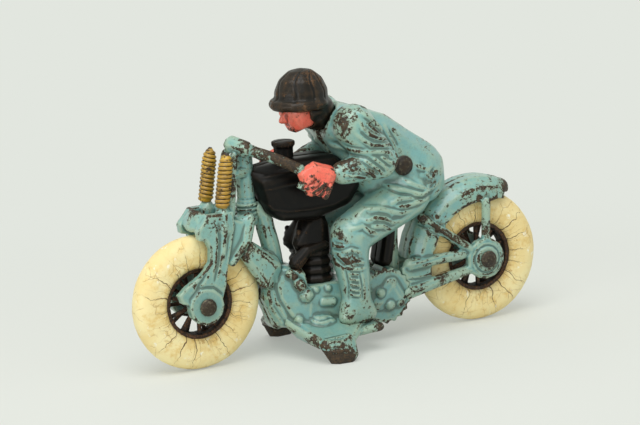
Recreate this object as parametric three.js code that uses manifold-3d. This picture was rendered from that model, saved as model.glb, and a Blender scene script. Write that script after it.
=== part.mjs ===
// A cast-iron toy motorcycle with a crouched rider.
// Two hollow half castings meet on the middle plane and are held by peened pins: two axles and one
// rivet through the rider's hips. Each half is parted here along its own features and paint lines.
// The wheels turn on the axles and the rider's head turns in the collar.
// +X is forward, +Y is the rider's left, +Z is up; the origin lies on the ground under the middle.
import * as THREE from 'three';
import { ConvexGeometry } from 'three/addons/geometries/ConvexGeometry.js';
import { mergeVertices } from 'three/addons/utils/BufferGeometryUtils.js';
import Module from 'manifold-3d';

const wasm = await Module();
wasm.setup();

// ---- driving dimensions, in millimetres and degrees ----
const CUT_GAP = 0.3;          // between a piece and the neighbour that it is fitted to
const SEAM_GAP = 0.3;         // between the two halves on the middle plane
const WALL = 3;               // iron thickness of the hollow castings
const WHEELBASE = 152;
const TYRE_RADIUS = 32.5;
const TYRE_HALF_WIDTH = 6.8;
const WHEEL_ROOM = 1.3;       // air between a tyre and the castings round it
const RIM_RADIUS = 17.6;
const RIM_DEPTH = 2.4;
const RIM_HALF_WIDTH = 4.6;
const HUB_RADIUS = 4.8;
const SPOKES = 10;            // in each half of a wheel
const SPOKE_WIDTH = 1.7;
const AXLE_RADIUS = 2.2;
const AXLE_CLEARANCE = 0.1;   // running fit of the hub on its axle
const HEAD_RADIUS = 4.4;      // of the peened axle heads
const LEG_THICKNESS = 4.2;    // of the fork legs and the rear stays
const BOSS_RADIUS = 8.8;      // round the front axle
const BOSS_RISE = 1.2;
const DROPOUT_RADIUS = 10;    // round the rear axle
const SPRING_RADIUS = 3.8;
const SPRING_LENGTH = 26;
const STEM_RADIUS = 4.2;
const STEM_HEIGHT = 31;       // from its base collar to the handlebar
const BAR_RADIUS = 2.7;
const FENDER_WALL = 5.6;
const FENDER_HALF_WIDTH = 10.6;
const RIVET_RADIUS = 2.4;
const RIVET_HEAD_RADIUS = 5.1;
const RIVET_SEAT = 16.8;      // from the middle plane to the back of the rivet's heads
const NECK_TILT = 41;         // of the neck, forward from upright
const NECK_RADIUS = 4.4;
const NECK_CLEARANCE = 0.1;
const NECK_FOOT = -12;        // how far the neck reaches down into the collar
const FLANGE = 1.8;           // the rim at its foot that holds the head in
const FLANGE_DEPTH = 2.5;
const NECK_LENGTH = 16.8;     // from the top of the collar to the middle of the head
const FOOT_SPREAD = 33;       // from the middle plane to the middle of a stand foot
const SPROCKET_RADIUS = 12.6;
const SPROCKET_TEETH = 20;
const TOOTH_HEIGHT = 1.5;

// ---- places that several pieces share ----
const FRONT = WHEELBASE / 2;
const REAR = -WHEELBASE / 2;
const AXLE_Z = TYRE_RADIUS;
const TYRE_TOP = 2 * TYRE_RADIUS;
const LEG_IN = TYRE_HALF_WIDTH + WHEEL_ROOM;
const LEG_OUT = LEG_IN + LEG_THICKNESS;
const HEAD_IN = LEG_OUT + BOSS_RISE + CUT_GAP;
const STEM_X = FRONT - 29.5;
const STEM_BASE = TYRE_TOP + 6;
const STEM_TOP = STEM_BASE + STEM_HEIGHT;
const SPRING_Y = 9;
const SPRING_SEAT = new THREE.Vector3(FRONT - 12.3, SPRING_Y, TYRE_TOP + 14);
const SPRING_LEAN = 9.4;      // degrees back from upright
const GRIP = new THREE.Vector3(23.8, 20, 88);
const SHOULDER = [-4, 17.5, 110, 10.5];
const ELBOW = [-15, 22.5, 91.5, 8.2];
const WRIST = [5, 20.5, 88.5, 5.6];
const HIP = [-33.5, 11.5, 71, 12];
const KNEE = [0.6, 17, 56.8, 10];
const ANKLE = [0.4, 18.5, 37.4, 8];
const RIVET = new THREE.Vector3(-30, 0, 86.5);
const NECK = new THREE.Vector3(3.5, 0, 111.4);
const ENGINE_X = 14;
const SPROCKET = new THREE.Vector3(-20, 0, 22.5);
const SEAT_X = -29.2;
const CAP_X = 25.2;

// ---- shapes ----
// The corners of a faceted ball of radius 1.
function corners(geometry) {
  const position = mergeVertices(bareShape(geometry), 1e-4).getAttribute('position');
  const corner = (_, i) => new THREE.Vector3().fromBufferAttribute(position, i);
  return Array.from({ length: position.count }, corner);
}

function bareShape(geometry) {
  const bare = geometry.clone();
  bare.deleteAttribute('normal');
  bare.deleteAttribute('uv');
  return bare;
}

const ROUND_BALL = corners(new THREE.IcosahedronGeometry(1, 1));
const SMALL_BALL = corners(new THREE.OctahedronGeometry(1, 1));
const SMALL = 5.2;            // balls below this radius need fewer facets

// A closed three.js geometry as a solid that can be joined and cut.
function solid(geometry) {
  const merged = mergeVertices(bareShape(geometry), 1e-4);
  const position = merged.getAttribute('position');
  const index = merged.getIndex().array;
  const kept = [];
  let volume = 0;
  const corner = [new THREE.Vector3(), new THREE.Vector3(), new THREE.Vector3()];
  for (let i = 0; i < index.length; i += 3) {
    const [a, b, c] = [index[i], index[i + 1], index[i + 2]];
    if (a === b || b === c || c === a) continue;
    kept.push(a, b, c);
    [a, b, c].forEach((v, k) => corner[k].fromBufferAttribute(position, v));
    volume += corner[0].dot(corner[1].cross(corner[2]));
  }
  if (volume < 0) kept.reverse();
  const mesh = new wasm.Mesh({
    numProp: 3,
    vertProperties: new Float32Array(position.array),
    triVerts: new Uint32Array(kept),
  });
  return new wasm.Manifold(mesh);
}

const join = (...solids) => solids.reduce((whole, next) => whole.add(next));

// The tight skin round balls given as [x, y, z, radius].
function skin(balls, grow = 0) {
  const points = [];
  for (const [x, y, z, r] of balls) {
    for (const d of r < SMALL ? SMALL_BALL : ROUND_BALL) {
      points.push(new THREE.Vector3(x, y, z).addScaledVector(d, r + grow));
    }
  }
  return solid(new ConvexGeometry(points));
}

// A limb: each ball is skinned to the next.
function limb(balls, grow = 0) {
  const spans = balls.slice(1).map((ball, i) => skin([balls[i], ball], grow));
  return join(...spans);
}

// Balls on both sides of the middle plane.
const mirrored = (balls) => balls.flatMap(([x, y, z, r]) => [[x, y, z, r], [x, -y, z, r]]);

function box(x0, x1, y0, y1, z0, z1) {
  const geometry = new THREE.BoxGeometry(x1 - x0, y1 - y0, z1 - z0);
  geometry.translate((x0 + x1) / 2, (y0 + y1) / 2, (z0 + z1) / 2);
  return solid(geometry);
}

// A profile of [radius, height] turned about a line along Y through (x, z).
function turnedAcross(profile, x, z, segments = 24) {
  const points = profile.map(([r, h]) => new THREE.Vector2(r, h));
  return solid(new THREE.LatheGeometry(points, segments).translate(x, 0, z));
}

// A profile of [radius, height] turned about an upright line, then leaned back by some degrees.
function turnedUp(profile, place, segments = 16, lean = 0) {
  const points = profile.map(([r, h]) => new THREE.Vector2(r, h));
  const geometry = new THREE.LatheGeometry(points, segments).rotateX(Math.PI / 2);
  geometry.rotateY(THREE.MathUtils.degToRad(-lean)).translate(place.x, place.y, place.z);
  return solid(geometry);
}

function rod(x, z, radius, y0, y1, segments = 12) {
  return turnedAcross([[0, y0], [radius, y0], [radius, y1], [0, y1]], x, z, segments);
}

// A flat outline of [x, z] corners, from y0 to y1.
function plate(outline, y0, y1) {
  const shape = new THREE.Shape(outline.map(([x, z]) => new THREE.Vector2(x, z)));
  const settings = { depth: y1 - y0, bevelEnabled: false, curveSegments: 6 };
  return solid(new THREE.ExtrudeGeometry(shape, settings).rotateX(Math.PI / 2).translate(0, y1, 0));
}

// A round tube along a smooth curve through points.
function tube(points, radius, grow = 0, steps = 14, sides = 10) {
  const path = new THREE.CatmullRomCurve3(points.map((p) => new THREE.Vector3(...p)));
  const ring = new THREE.Shape();
  ring.absarc(0, 0, radius + grow, 0, 2 * Math.PI);
  const settings = { steps, extrudePath: path, curveSegments: sides / 2, bevelEnabled: false };
  return solid(new THREE.ExtrudeGeometry(ring, settings));
}

const LEFT_SIDE = box(-300, 300, SEAM_GAP / 2, 300, -50, 300);
const ABOVE_GROUND = box(-300, 300, -300, 300, 0, 300);

// ---- wheels ----
function tyre(x) {
  const inner = RIM_RADIUS + CUT_GAP;
  const deep = (TYRE_RADIUS - inner) / 2;
  const middle = TYRE_RADIUS - deep;
  const profile = [];
  const arcs = 6;
  for (let i = 0; i <= arcs; i++) {
    const a = Math.PI * (i / arcs) - Math.PI / 2;
    profile.push([middle + deep * Math.cos(a) ** 0.8, TYRE_HALF_WIDTH * Math.sin(a)]);
  }
  profile.push([inner, RIM_HALF_WIDTH], [inner, -RIM_HALF_WIDTH], profile[0]);
  return turnedAcross(profile, x, AXLE_Z, 32);
}

// The left half of a cast wheel: rim, spokes and hub, hollow for its axle.
function wheelHalf(x, turn) {
  const inside = RIM_RADIUS - RIM_DEPTH;
  const back = SEAM_GAP / 2;
  const rim = turnedAcross([
    [inside, back], [RIM_RADIUS, back], [RIM_RADIUS, RIM_HALF_WIDTH],
    [inside, RIM_HALF_WIDTH], [inside, back],
  ], x, AXLE_Z, 20);
  const hubEnd = LEG_IN - CUT_GAP;
  const bore = AXLE_RADIUS + AXLE_CLEARANCE;
  const hub = turnedAcross([
    [bore, back], [HUB_RADIUS, back], [HUB_RADIUS, hubEnd], [bore, hubEnd], [bore, back],
  ], x, AXLE_Z, 12);
  const spokes = [];
  for (let i = 0; i < SPOKES; i++) {
    const bar = new THREE.BoxGeometry(SPOKE_WIDTH, 1.9, inside - HUB_RADIUS + 1.2);
    bar.translate(0, back + 2, (inside + HUB_RADIUS) / 2);
    bar.rotateY(2 * Math.PI * (i + turn) / SPOKES).translate(x, 0, AXLE_Z);
    spokes.push(solid(bar));
  }
  return join(rim, hub, ...spokes);
}

// The room that a turning wheel needs between the castings.
const wheelRoom = (x) => rod(x, AXLE_Z, TYRE_RADIUS + WHEEL_ROOM, -LEG_IN, LEG_IN, 32);

// ---- pins ----
function peenedPin(x, z, radius, headRadius, seat, grow = 0) {
  const r = radius + grow;
  const dome = (side) => turnedAcross([
    [0, side * seat], [headRadius, side * seat], [headRadius, side * (seat + 1)],
    [headRadius * 0.6, side * (seat + 2.4)], [0, side * (seat + 2.8)],
  ], x, z, 12);
  return join(rod(x, z, r, -seat - 0.5, seat + 0.5, 12), dome(1), dome(-1));
}

// ---- the rider's head ----
const headCentre = NECK.clone().add(new THREE.Vector3(
  Math.sin(THREE.MathUtils.degToRad(NECK_TILT)), 0, Math.cos(THREE.MathUtils.degToRad(NECK_TILT)),
).multiplyScalar(NECK_LENGTH));

// Things drawn upright round the neck's foot, then leaned forward with the neck.
function neckStem(grow) {
  const r = NECK_RADIUS + grow;
  const step = NECK_FOOT + FLANGE_DEPTH + grow;
  return turnedUp([
    [0, NECK_FOOT - grow], [r + FLANGE, NECK_FOOT - grow], [r + FLANGE, step], [r, step], [r, 8], [0, 8],
  ], NECK, 12, -NECK_TILT);
}

function helmet(grow) {
  const { x, z } = headCentre;
  const dome = new THREE.SphereGeometry(1, 14, 7).rotateX(Math.PI / 2);
  dome.scale(13.6 + grow, 11.8 + grow, 14 + grow).translate(x - 0.4, 0, z - 0.3);
  const brim = new THREE.TorusGeometry(12.4, 2.7 + grow, 6, 14);
  brim.scale(1, 0.94, 1).translate(x + 1, 0, z - 3);
  const below = box(x - 30, x + 30, -30, 30, z - 40, z - 4);
  const flaps = skin(mirrored([
    [x - 6.5, 5.5, z - 7, 4.6], [x - 1, 6, z - 8, 4.2], [x - 7, 3.5, z - 12.5, 4],
  ]), grow);
  const guard = turnedUp([
    [0, -1.4], [6.5 + grow, -1.4], [9 + grow, 3], [9.8 + grow, 4.5], [9.4 + grow, 9], [0, 11],
  ], NECK, 14, -NECK_TILT);
  return join(solid(dome).subtract(below), solid(brim), flaps, guard, neckStem(grow));
}

function face(grow) {
  const { x, z } = headCentre;
  const skull = skin(mirrored([
    [x + 4, 4.5, z - 7, 5.6], [x + 3.5, 4, z - 11.5, 4.6], [x + 4.5, 2, z - 14, 3.1],
    [x - 2, 3, z - 10, 5],
  ]), grow);
  const nose = skin([[x + 9.5, 0, z - 8, 1.5], [x + 11, 0, z - 10.8, 1.4], [x + 7, 0, z - 10, 2.5]], grow);
  return join(skull, nose);
}

// ---- the rider's left half ----
function torso(grow) {
  const chest = [-8, 6, 98, 9];
  const upper = [-4, 8, 108, 11];
  const back = [-19, 6, 100.5, 13];
  const middle = [-31, 3.5, 91, 13.6];
  const hips = [-42.6, 4, 81, 15];
  const rump = [-44.8, 4.5, 76, 13];
  const belly = [-19, 5, 81, 10];
  return join(
    skin(mirrored([upper, back, chest]), grow),
    skin(mirrored([back, middle, belly, chest]), grow),
    skin(mirrored([middle, hips, rump, belly]), grow),
  );
}

const arm = (grow) => limb([SHOULDER, ELBOW, WRIST], grow);

function hand(grow) {
  const { x, y, z } = GRIP;
  return skin([
    [x - 12.5, y, z + 0.5, 4.6], [x - 4, y + 0.5, z + 4, 4.2], [x + 1, y + 0.5, z + 2.5, 3.6],
    [x - 2, y + 1, z - 4.5, 4.2], [x - 9, y, z - 3.5, 4.2],
  ], grow);
}

function leg(grow) {
  const calf = [1.4, 17.6, 45.4, 8.8];
  const shaft = [-0.6, 18.8, 24, 6.6];
  const boot = skin([shaft, [-6, 19, 17.8, 4.6], [7, 21, 18, 3.9], [3.5, 19.5, 24, 5]], grow);
  return join(limb([HIP, KNEE, calf, ANKLE, shaft], grow), boot);
}

// ---- front end ----
function forkSpring(grow) {
  const r = SPRING_RADIUS + grow;
  return turnedUp([
    [0, 0], [r, 0], [r, SPRING_LENGTH * 0.78], [r * 0.62, SPRING_LENGTH * 0.93], [0, SPRING_LENGTH + grow],
  ], SPRING_SEAT, 12, SPRING_LEAN);
}

function handlebar(grow) {
  const from = [STEM_X + 4, 0, STEM_TOP + 3];
  const lump = skin([[STEM_X + 5.5, 0, STEM_TOP + 3.6, 4.4], [STEM_X + 2, 6.5, STEM_TOP + 2, 4]], grow);
  const bar = tube([
    from, [STEM_X - 1, 8.5, STEM_TOP + 0.7], [STEM_X - 8, 12.5, STEM_TOP - 2.2],
    [GRIP.x + 6.2, GRIP.y - 3, GRIP.z + 7.2], [GRIP.x + 0.8, GRIP.y - 0.8, GRIP.z + 3.4],
    [GRIP.x, GRIP.y, GRIP.z], [GRIP.x + 2.9, GRIP.y, GRIP.z - 4.6],
  ], BAR_RADIUS, grow, 12, 8);
  return join(lump, bar);
}

function steeringHead(grow) {
  const r = STEM_RADIUS + grow;
  const stem = turnedUp([
    [0, -5], [r + 1, -5], [r + 1, 6], [r, 6.6], [r, STEM_HEIGHT], [0, STEM_HEIGHT],
  ], new THREE.Vector3(STEM_X, 0, STEM_BASE), 12);
  const { x, z } = SPRING_SEAT;
  const brace = limb([
    [x - 5.6, 6.5, z - 6, 2.2], [x - 8.2, 6, z + 12, 1.8], [x - 10, 4.5, STEM_TOP - 1, 2],
  ], grow);
  const bridge = limb([[x - 8.2, 6, z + 13, 2], [STEM_X, 2, z + 13, 2.4]], grow);
  return join(stem, brace, bridge);
}

function fork(grow) {
  const { x, z } = SPRING_SEAT;
  const inner = LEG_IN - grow;
  const outer = LEG_OUT + grow;
  const g = grow;
  const legOutline = [
    [x - 4.6 - g, z - 3], [x - 4.8 - g, z - 10], [FRONT - 12.6 - g, AXLE_Z + 18],
    [FRONT - 11 - g, AXLE_Z + 9], [FRONT - 7, AXLE_Z - 3], [FRONT + 6, AXLE_Z + 1],
    [FRONT + 12 + g, AXLE_Z + 3 - g], [FRONT + 13.8 + g, AXLE_Z + 7], [FRONT + 9.4 + g, AXLE_Z + 10.6 + g],
    [FRONT + 1 + g, AXLE_Z + 15.5 + g], [FRONT - 3.6 + g, AXLE_Z + 21], [FRONT - 4 + g, AXLE_Z + 27],
    [FRONT - 2 + g, TYRE_TOP - 1], [FRONT + 1.6 + g, TYRE_TOP - 0.4], [FRONT + 2.2 + g, TYRE_TOP + 4],
    [FRONT - 1.2 + g, TYRE_TOP + 7.6 + g], [FRONT - 4 + g, TYRE_TOP + 11 + g], [x + 4.6 + g, z - 3],
  ];
  const legPlate = plate(legOutline, inner, outer);
  const boss = rod(FRONT, AXLE_Z, BOSS_RADIUS + g, inner, outer + BOSS_RISE, 12);
  const seat = skin([[x - 0.5, SPRING_Y, z - 4, 4 + g], [x, SPRING_Y + 0.5, z - 12, 4.4 + g]]);
  const shelf = skin([
    [x - 3, 1, TYRE_TOP + 3.6, 2], [x - 3, 8, TYRE_TOP + 3.6, 2],
    [FRONT - 2, 1, TYRE_TOP + 3.2, 1.8], [FRONT - 2, 8, TYRE_TOP + 3.2, 1.8],
  ], g);
  const nose = skin([
    [FRONT - 4.8, 9.4, TYRE_TOP + 9, 1.6], [FRONT - 1.4, 9.4, TYRE_TOP + 4.6, 1.9],
    [FRONT - 2, 1, TYRE_TOP + 10.6, 1.5], [FRONT + 0.4, 1, TYRE_TOP + 3.6, 1.8],
  ], g);
  const strut = limb([
    [STEM_X + 3, LEG_IN + 0.4, STEM_BASE - 0.5, 3.4], [STEM_X + 6.2, LEG_IN + 2.4, STEM_BASE - 10.5, 2.9],
    [FRONT - 15.8, LEG_IN + 2.3, AXLE_Z + 19, 2.2],
  ], grow);
  const yoke = skin([
    [STEM_X, 2, STEM_BASE - 2, 4.6], [STEM_X + 3, LEG_IN, STEM_BASE - 1.5, 3.4],
    [x - 3.5, 6, z - 11, 3],
  ], grow);
  const web = plate([
    [STEM_X + 4, STEM_BASE - 2], [FRONT - 14, AXLE_Z + 18], [x - 2, z - 12], [x - 2, z - 6],
  ], inner, outer - 1.6);
  const bore = rod(FRONT, AXLE_Z, AXLE_RADIUS + CUT_GAP, -40, 40);
  const whole = join(legPlate, boss, seat, shelf, nose, strut, yoke, web);
  return grow ? whole : whole.subtract(bore);
}

// ---- tank and engine ----
function tank(grow) {
  const lip = [STEM_X - 1.6, 3, 91.4, 1.8];
  const brow = [STEM_X - 8, 7.5, 87, 5];
  return skin(mirrored([
    lip, brow, [STEM_X - 11.5, 6, 75, 5], [STEM_X - 16, 7, 71.8, 5.4], [14, 7.5, 70.8, 5.6],
    [-2, 7, 74, 5], [-8, 6, 81, 5], [22, 6.5, 91, 4.6], [3, 7, 90, 5],
  ]), grow);
}

function fillerCap(grow) {
  const base = 94.4;
  return turnedUp([
    [0, base], [4.9 + grow, base], [4.7 + grow, 97.5], [4.7 + grow, 100.6], [5.7 + grow, 101.8],
    [5.7 + grow, 103.6 + grow], [3, 104 + grow], [0, 104 + grow],
  ], new THREE.Vector3(CAP_X, 0, 0), 12);
}

function engine(grow) {
  const fins = [[0, 33.6 - grow]];
  const levels = 4;
  for (let i = 0; i < levels; i++) {
    const low = 34 + i * 4.3;
    const wide = 9.6 - 0.25 * i + grow;
    fins.push([wide - 1.2, low], [wide, low + 1.2], [wide, low + 2.6], [wide - 1.2, low + 3.8]);
  }
  fins.push([0, 52]);
  const barrel = turnedUp(fins, new THREE.Vector3(ENGINE_X, 3, 0), 10);
  const valves = skin([
    [ENGINE_X - 1, 3, 51, 8.4], [ENGINE_X + 1, 2, 60, 6.6], [ENGINE_X - 3, 4, 62, 5],
    [ENGINE_X + 7, 5, 54, 4.6],
  ], grow);
  const neck = skin(mirrored([[ENGINE_X, 3, 58, 4.5], [ENGINE_X, 3, 66, 4.5]]), grow);
  return join(barrel, valves, neck);
}

// The exhaust elbow is on the left side only.
const exhaustElbow = (grow) => limb([
  [ENGINE_X - 3, 9.6, 52.6, 2.6], [ENGINE_X + 7, 10.4, 50.8, 3.2], [ENGINE_X + 12.2, 9.4, 45.6, 4],
], grow);

// ---- frame and cases ----
function crankcase(grow) {
  const block = skin(mirrored([
    [35.5, 5, 41, 4.4], [38.6, 4, 30, 4], [34.6, 5, 17.5, 3.2], [27, 9, 39, 4.6], [23, 12, 29, 4.6],
    [24, 13, 18, 3.6], [4, 9, 30, 5], [-6, 10.5, 15, 4.6], [-8, 9, 26, 5],
  ]), grow);
  const barrelSeat = box(ENGINE_X - 30, ENGINE_X + 9.3 - grow, -30, 30, 34.2 + grow, 60);
  const covers = [[24.6, 15.2, 30.6, 3.6], [18.4, 16.4, 15, 5.6]].map((ball) => skin([ball], grow));
  return join(block.subtract(barrelSeat), ...covers);
}

function downTube(grow) {
  return tube([
    [STEM_X - 3, 0, STEM_BASE + 2.6], [STEM_X - 8, 0, STEM_BASE - 1], [STEM_X - 9.4, 0, STEM_BASE - 8],
    [STEM_X - 11.4, 0, 55], [33.4, 0, 44],
  ], 4.4, grow, 10);
}

function cradle(grow) {
  return skin(mirrored([
    [FRONT - 25.4, LEG_IN + 2.2, AXLE_Z + 25, 2.6], [FRONT - 22.6, LEG_IN + 2.2, AXLE_Z + 21, 2.2],
    [38, 7, 46, 4.4], [43, 8.6, 39, 3.2], [38, 6, 38, 4],
  ]), grow);
}

function gearCase(grow) {
  const { x, z } = SPROCKET;
  const outline = [];
  for (let i = 0; i < 2 * SPROCKET_TEETH; i++) {
    const r = SPROCKET_RADIUS + grow + (i % 2 ? 0 : TOOTH_HEIGHT);
    const a = Math.PI * i / SPROCKET_TEETH;
    outline.push([x + r * Math.cos(a), z + r * Math.sin(a)]);
  }
  const disc = plate(outline, 1, 11.6 + grow);
  const cover = skin([[x + 4, 8, z - 3, 5.4], [x - 3, 8.4, z + 5, 5.3], [x - 7, 8.4, z - 2, 5.2]], grow);
  return join(disc, cover);
}

const seatTube = (grow) => tube([
  [SEAT_X, 0, SPROCKET.z + 8], [SEAT_X, 0, 50], [SEAT_X - 1.6, 0, 66],
], 4.2, grow, 4);

const oilTank = (grow) => skin(mirrored([
  [SEAT_X + 5, 4.5, 38, 3.4], [SEAT_X + 2.6, 5, 50, 2.8], [SEAT_X + 1, 5, 60, 2.6],
]), grow);

function chainStay(grow) {
  const inner = LEG_IN - grow;
  const outer = LEG_OUT + grow;
  const middle = (LEG_IN + LEG_OUT) / 2;
  const upper = limb([
    [SPROCKET.x - 14, middle - 0.5, SPROCKET.z + 13, 3], [REAR + 12, middle, AXLE_Z + 3.6, 2.4],
  ], grow);
  const lower = limb([
    [SPROCKET.x - 12, middle, SPROCKET.z - 0.6, 3.8], [REAR + 6, middle, AXLE_Z - 4, 2.3],
  ], grow);
  const web = plate([
    [SPROCKET.x - 10, SPROCKET.z + 12], [SPROCKET.x - 26, AXLE_Z + 2.5], [SPROCKET.x - 26, AXLE_Z - 7],
    [SPROCKET.x - 10, SPROCKET.z - 2],
  ], inner, outer - 1.4);
  const dropout = rod(REAR, AXLE_Z, DROPOUT_RADIUS + grow, inner, outer, 14);
  const ring = rod(REAR, AXLE_Z, 6.4 + grow, outer - 1, outer + BOSS_RISE, 12);
  const whole = join(upper, lower, web, dropout, ring);
  return grow ? whole : whole.subtract(rod(REAR, AXLE_Z, AXLE_RADIUS + CUT_GAP, -40, 40));
}

function seatStay(grow) {
  const middle = (LEG_IN + LEG_OUT) / 2;
  return limb([
    [SEAT_X - 13.5, middle - 1, 57.5, 2.4], [REAR + 8, middle, AXLE_Z + 5.6, 2.5],
  ], grow);
}

function rearFender(grow) {
  const inner = TYRE_RADIUS + WHEEL_ROOM;
  const outer = TYRE_RADIUS + WHEEL_ROOM + FENDER_WALL + 1 + grow;
  const side = FENDER_HALF_WIDTH + grow;
  const hem = TYRE_RADIUS - 4;
  const ring = turnedAcross([
    [inner, -1], [inner, LEG_IN + 0.05], [hem, LEG_IN + 0.05], [hem, side], [inner + 1.5, side],
    [outer - 2, side - 3], [outer, side - 7], [outer, -1], [inner, -1],
  ], REAR, AXLE_Z, 32);
  const reach = plate([
    [REAR - 14, AXLE_Z + 25.7], [REAR - 18.6, AXLE_Z + 28.1], [REAR - 19.8, AXLE_Z + 31.7],
    [REAR - 18.4, AXLE_Z + 35.2], [REAR - 14.4, AXLE_Z + 38.6], [REAR - 8, 140], [REAR + 60, 140],
    [REAR + 60, 37], [REAR + 31, 37], [REAR + 24, AXLE_Z + 12], [REAR + 18, AXLE_Z + 20.6],
    [REAR + 10, AXLE_Z + 26.4], [REAR + 1, AXLE_Z + 27.8], [REAR - 9, AXLE_Z + 27.6],
  ], -5, 40);
  const brace = limb([
    [REAR - 2, LEG_IN + 2.4, AXLE_Z + 28, 2.2], [REAR - 1, LEG_IN + 2.2, AXLE_Z + 9, 2.2],
  ], grow);
  const plan = new THREE.Shape([
    [REAR + 60, -1], [REAR + 60, 20], [REAR - 5, 20], [REAR - 9, side], [REAR - 14.5, side - 2],
    [REAR - 18, side - 5], [REAR - 19.8, side - 8.6], [REAR - 19.8, -1],
  ].map(([x, y]) => new THREE.Vector2(x, y)));
  const taper = solid(new THREE.ExtrudeGeometry(plan, { depth: 140, bevelEnabled: false }));
  return join(ring.intersect(reach).intersect(taper), brace);
}

function stand(grow) {
  const y = FOOT_SPREAD;
  const foot = skin([
    [19, y, 2.6, 4.2], [12.5, y + 0.5, 3.2, 4.4], [24, y - 1, 9, 3], [11, y - 2, 9.6, 3], [18, y, 8, 4],
  ], grow);
  const skirt = skin([
    [32.4, 11, 17, 2.4], [-4, 17, 14, 2.4], [25, y - 3, 9.4, 2.6], [9, y - 3, 10, 2.6],
    [18, 12, 16, 3.4], [28, 12, 11, 2],
  ], grow);
  return join(foot, skirt).intersect(ABOVE_GROUND);
}

const footboard = (grow) => skin([
  [6, 15, 10.8, 2], [7, 25, 10.6, 2], [-9, 25, 11.6, 2], [-9, 15, 11.6, 2],
], grow);

// ---- paints and metals ----
function paint(color, roughness, metalness = 0) {
  return new THREE.MeshStandardMaterial({ color, roughness, metalness });
}
const BLUE = paint(0x7fb4bb, 0.45);
const BLACK = paint(0x17150f, 0.3);
const CORAL = paint(0xe8604f, 0.45);
const GOLD = paint(0xb98a2c, 0.45, 0.5);
const IRON = paint(0x3b2b22, 0.6, 0.6);
const RUBBER = paint(0xe9dfb8, 0.75);

// ---- assembly ----
const group = new THREE.Group();

function addNode(name, part, material, flip = false) {
  const pieces = part.decompose().sort((a, b) => b.volume() - a.volume());
  const mesh = pieces[0].getMesh();
  const vertices = Float32Array.from(mesh.vertProperties);
  const index = Uint32Array.from(mesh.triVerts);
  if (flip) {
    for (let i = 1; i < vertices.length; i += 3) vertices[i] *= -1;
    index.reverse();
  }
  const geometry = new THREE.BufferGeometry();
  geometry.setAttribute('position', new THREE.BufferAttribute(vertices, 3));
  geometry.setIndex(new THREE.BufferAttribute(index, 1));
  geometry.computeVertexNormals();
  const node = new THREE.Mesh(geometry, material);
  node.name = name;
  group.add(node);
}

// Pieces that turn or pin the halves together, and the room that the castings leave for them.
const frontPin = (grow) => peenedPin(FRONT, AXLE_Z, AXLE_RADIUS, HEAD_RADIUS, HEAD_IN, grow);
const rearPin = (grow) => peenedPin(REAR, AXLE_Z, AXLE_RADIUS, HEAD_RADIUS, HEAD_IN, grow);
const hipRivet = (grow) => peenedPin(RIVET.x, RIVET.z, RIVET_RADIUS, RIVET_HEAD_RADIUS, RIVET_SEAT, grow);
addNode('front_axle', frontPin(0), IRON);
addNode('rear_axle', rearPin(0), IRON);
addNode('hip_rivet', hipRivet(0), IRON);
for (const [end, x] of [['front', FRONT], ['rear', REAR]]) {
  addNode(`${end}_tyre`, tyre(x), RUBBER);
  addNode(`${end}_wheel_left`, wheelHalf(x, 0), IRON);
  addNode(`${end}_wheel_right`, wheelHalf(x, 0.5), IRON, true);
}
addNode('rider_face', face(0), CORAL);
addNode('rider_helmet', helmet(0).subtract(face(CUT_GAP)), BLACK);

// The room that the turning head needs: its own outline, as [radius, height], turned about the neck.
const HEAD_OUTLINE = [[6.8, -1.6], [9.4, 3], [10.2, 4.2], [15.2, 5.6], [17.2, 14], [17.2, 40]];
function headRoom() {
  const stem = NECK_RADIUS + NECK_CLEARANCE;
  const low = NECK_FOOT - NECK_CLEARANCE;
  const step = NECK_FOOT + FLANGE_DEPTH + NECK_CLEARANCE;
  return turnedUp([
    [0, low], [stem + FLANGE, low], [stem + FLANGE, step], [stem, step], [stem, -1.6 - CUT_GAP],
    ...HEAD_OUTLINE.map(([r, h]) => [r + CUT_GAP, h - CUT_GAP]), [0, 40],
  ], NECK, 24, -NECK_TILT);
}

const room = [
  wheelRoom(FRONT), wheelRoom(REAR), frontPin(CUT_GAP), rearPin(CUT_GAP), hipRivet(CUT_GAP), headRoom(),
];

// The castings, in the order in which they claim their space: each is cut back from those before it.
const castings = [
  ['fork_spring', forkSpring, GOLD],
  ['handlebar', handlebar, BLUE],
  ['steering_head', steeringHead, BLUE],
  ['fork', fork, BLUE],
  ['rider_arm', arm, BLUE],
  ['rider_hand', hand, CORAL],
  ['rider_leg', leg, BLUE],
  ['rider_torso', torso, BLUE],
  ['fuel_tank', tank, BLACK],
  ['filler_cap', fillerCap, BLACK],
  ['engine', engine, BLACK],
  ['exhaust_elbow', exhaustElbow, BLACK],
  ['crankcase', crankcase, BLUE],
  ['stand', stand, BLUE],
  ['footboard', footboard, BLUE],
  ['down_tube', downTube, BLUE],
  ['cradle', cradle, BLUE],
  ['gear_case', gearCase, BLUE],
  ['seat_tube', seatTube, BLUE],
  ['oil_tank', oilTank, BLACK],
  ['chain_stay', chainStay, BLUE],
  ['seat_stay', seatStay, BLUE],
  ['rear_fender', rearFender, BLUE],
];
const HOLLOW = new Set(['rider_torso', 'fuel_tank']);
const LEFT_ONLY = new Set(['exhaust_elbow']);
const claimed = [...room];
for (const [name, shape, material] of castings) {
  let part = shape(0).intersect(LEFT_SIDE);
  if (HOLLOW.has(name)) part = part.subtract(shape(-WALL).intersect(LEFT_SIDE));
  for (const taken of claimed) part = part.subtract(taken);
  addNode(`left_${name}`, part, material);
  if (!LEFT_ONLY.has(name)) addNode(`right_${name}`, part, material, true);
  claimed.push(shape(CUT_GAP));
}

export default group;
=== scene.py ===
import math

import bmesh
import bpy
import numpy as np
from mathutils import Matrix, Vector


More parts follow.
